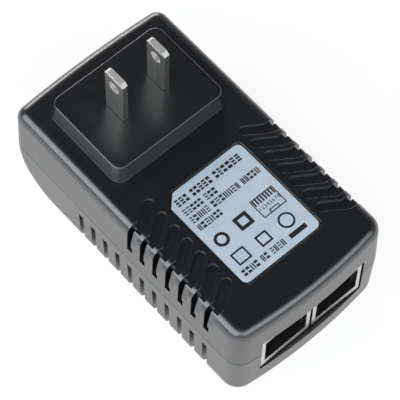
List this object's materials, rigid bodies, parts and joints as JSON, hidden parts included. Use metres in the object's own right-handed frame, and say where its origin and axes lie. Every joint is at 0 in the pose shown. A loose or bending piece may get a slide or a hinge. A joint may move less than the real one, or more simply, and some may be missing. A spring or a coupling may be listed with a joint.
{
  "type": "poe injector",
  "caption": "Wall-plug power-over-ethernet injector: a slim vented two-shell housing with fixed mains blades on a raised plug face and modular data jacks in one end.",
  "frame": {"origin": "centre of the back face, on the surface that the part lies on", "axes": "+Z out along the plug blades, +Y towards the plug end, -Y towards the jack end, +X across the housing"},
  "size_m": [0.0468, 0.0837, 0.0523],
  "materials": {
    "housing_plastic": "fine satin",
    "label_film": "satin film",
    "blade_metal": "bright nickel plate",
    "carrier_plastic": "matte",
    "lead_sleeve": "satin",
    "shield_metal": "bright tin plate",
    "jack_plastic": "satin",
    "contact_metal": "gold flash",
    "ferrite": "matte, slightly grainy",
    "bobbin_plastic": "matte",
    "winding_tape": "yellow polyester tape",
    "enamelled_wire": "copper under clear enamel",
    "capacitor_sleeve": "shrunk sleeve",
    "film_box": "moulded box",
    "disc_coat": "dipped coat",
    "fuse_body": "matte",
    "moulded_black": "matte moulding compound",
    "sink_metal": "rolled sheet",
    "chip_ceramic": "fired",
    "insulator_film": "translucent film",
    "board_laminate": "solder-resist coat"
  },
  "bodies": {
    "root": {"front_cover": "housing_plastic", "back_cover": "housing_plastic", "rating_label": "label_film", "plug_blade_left": "blade_metal", "plug_blade_right": "blade_metal", "blade_carrier": "carrier_plastic", "line_lead": "lead_sleeve", "neutral_lead": "lead_sleeve", "left_jack_shield": "shield_metal", "right_jack_shield": "shield_metal", "left_jack_housing": "jack_plastic", "right_jack_housing": "jack_plastic", "left_jack_contacts": "contact_metal", "right_jack_contacts": "contact_metal", "transformer_core": "ferrite", "transformer_bobbin": "bobbin_plastic", "transformer_winding": "winding_tape", "bulk_capacitors": "capacitor_sleeve", "output_capacitors": "capacitor_sleeve", "inductor_core": "ferrite", "inductor_coil": "enamelled_wire", "choke_core": "ferrite", "choke_winding": "enamelled_wire", "x_capacitor": "film_box", "y_capacitor": "disc_coat", "input_fuse": "fuse_body", "output_rectifier": "moulded_black", "bridge_rectifier": "moulded_black", "heat_sink": "sink_metal", "power_switch": "moulded_black", "optocoupler": "moulded_black", "controller_chip": "moulded_black", "chip_resistors": "chip_ceramic", "chip_capacitors": "chip_ceramic", "insulation_sheet": "insulator_film", "circuit_board": "board_laminate"}
  },
  "joints": []
}
